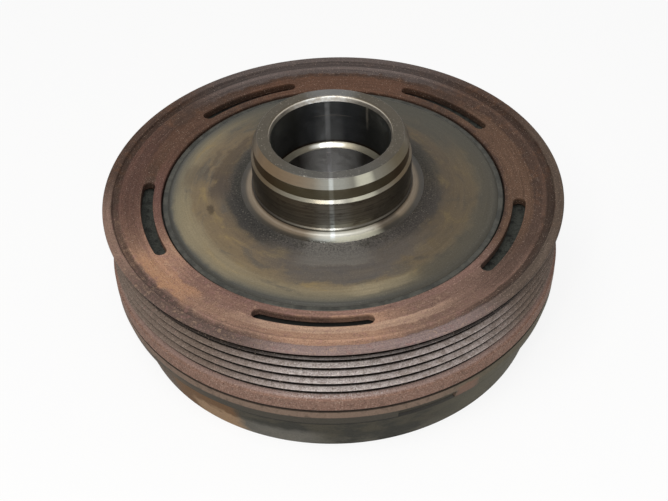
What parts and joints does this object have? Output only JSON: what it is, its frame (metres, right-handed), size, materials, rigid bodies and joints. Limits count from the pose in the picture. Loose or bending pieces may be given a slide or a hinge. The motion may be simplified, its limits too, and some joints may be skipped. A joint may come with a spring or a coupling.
{
  "type": "harmonic balancer",
  "caption": "Crankshaft damper pulley: turned hub with seal journal and stepped bore, slotted rear flange, poly-V belt track and rubber-mounted inertia ring.",
  "frame": {"origin": "on the shaft axis, in the plane of the damper ring's front face", "axes": "+Z along the shaft axis towards the engine; the long arc slot nearest -Y is turned 7 degrees towards -X"},
  "size_m": [0.1564, 0.1564, 0.0742],
  "materials": {
    "hub_steel": "turned steel, bright nose and oil-stained olive web",
    "sleeve_steel": "dull pressed steel",
    "rubber": "rough, dusty",
    "rusty_rim": "thin even rust over turned steel",
    "ring_iron": "dark stained casting with a rust patch"
  },
  "bodies": {
    "root": {"hub": "hub_steel", "hub_sleeve": "sleeve_steel", "rim_rubber": "rubber", "pulley_rim": "rusty_rim", "damper_rubber": "rubber", "damper_ring": "ring_iron"}
  },
  "joints": []
}
